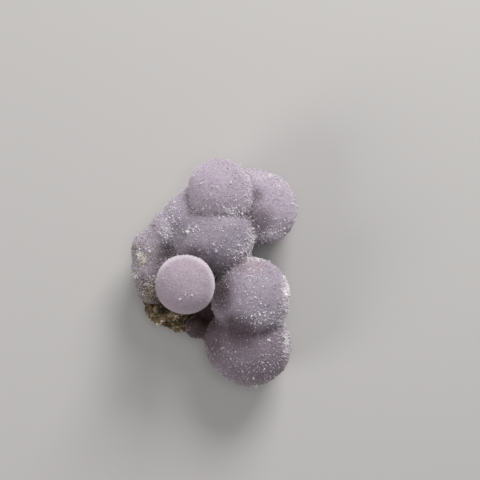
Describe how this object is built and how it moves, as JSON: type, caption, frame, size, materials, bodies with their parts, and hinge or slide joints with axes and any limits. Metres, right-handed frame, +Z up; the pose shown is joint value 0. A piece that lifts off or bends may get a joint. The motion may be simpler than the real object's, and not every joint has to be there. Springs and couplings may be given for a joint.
{
  "type": "grape agate",
  "caption": "Small loose piece of grape agate: round lilac-grey chalcedony balls with a sugary skin, grown together on a remnant of dark host rock broken flat behind.",
  "frame": {"origin": "centre of the bounding box's footprint, on the plane that the broken back rests on", "axes": "+Z up through the best side, +Y along the piece's length towards the top ball, +X to the right of the best side seen from above"},
  "size_m": [0.0159, 0.0217, 0.0127],
  "materials": {
    "chalcedony": "matte, sugary with fine clear crystals",
    "host_rock": "rough, broken"
  },
  "bodies": {
    "root": {"grape_cluster": "chalcedony", "matrix_rock": "host_rock"}
  },
  "joints": []
}
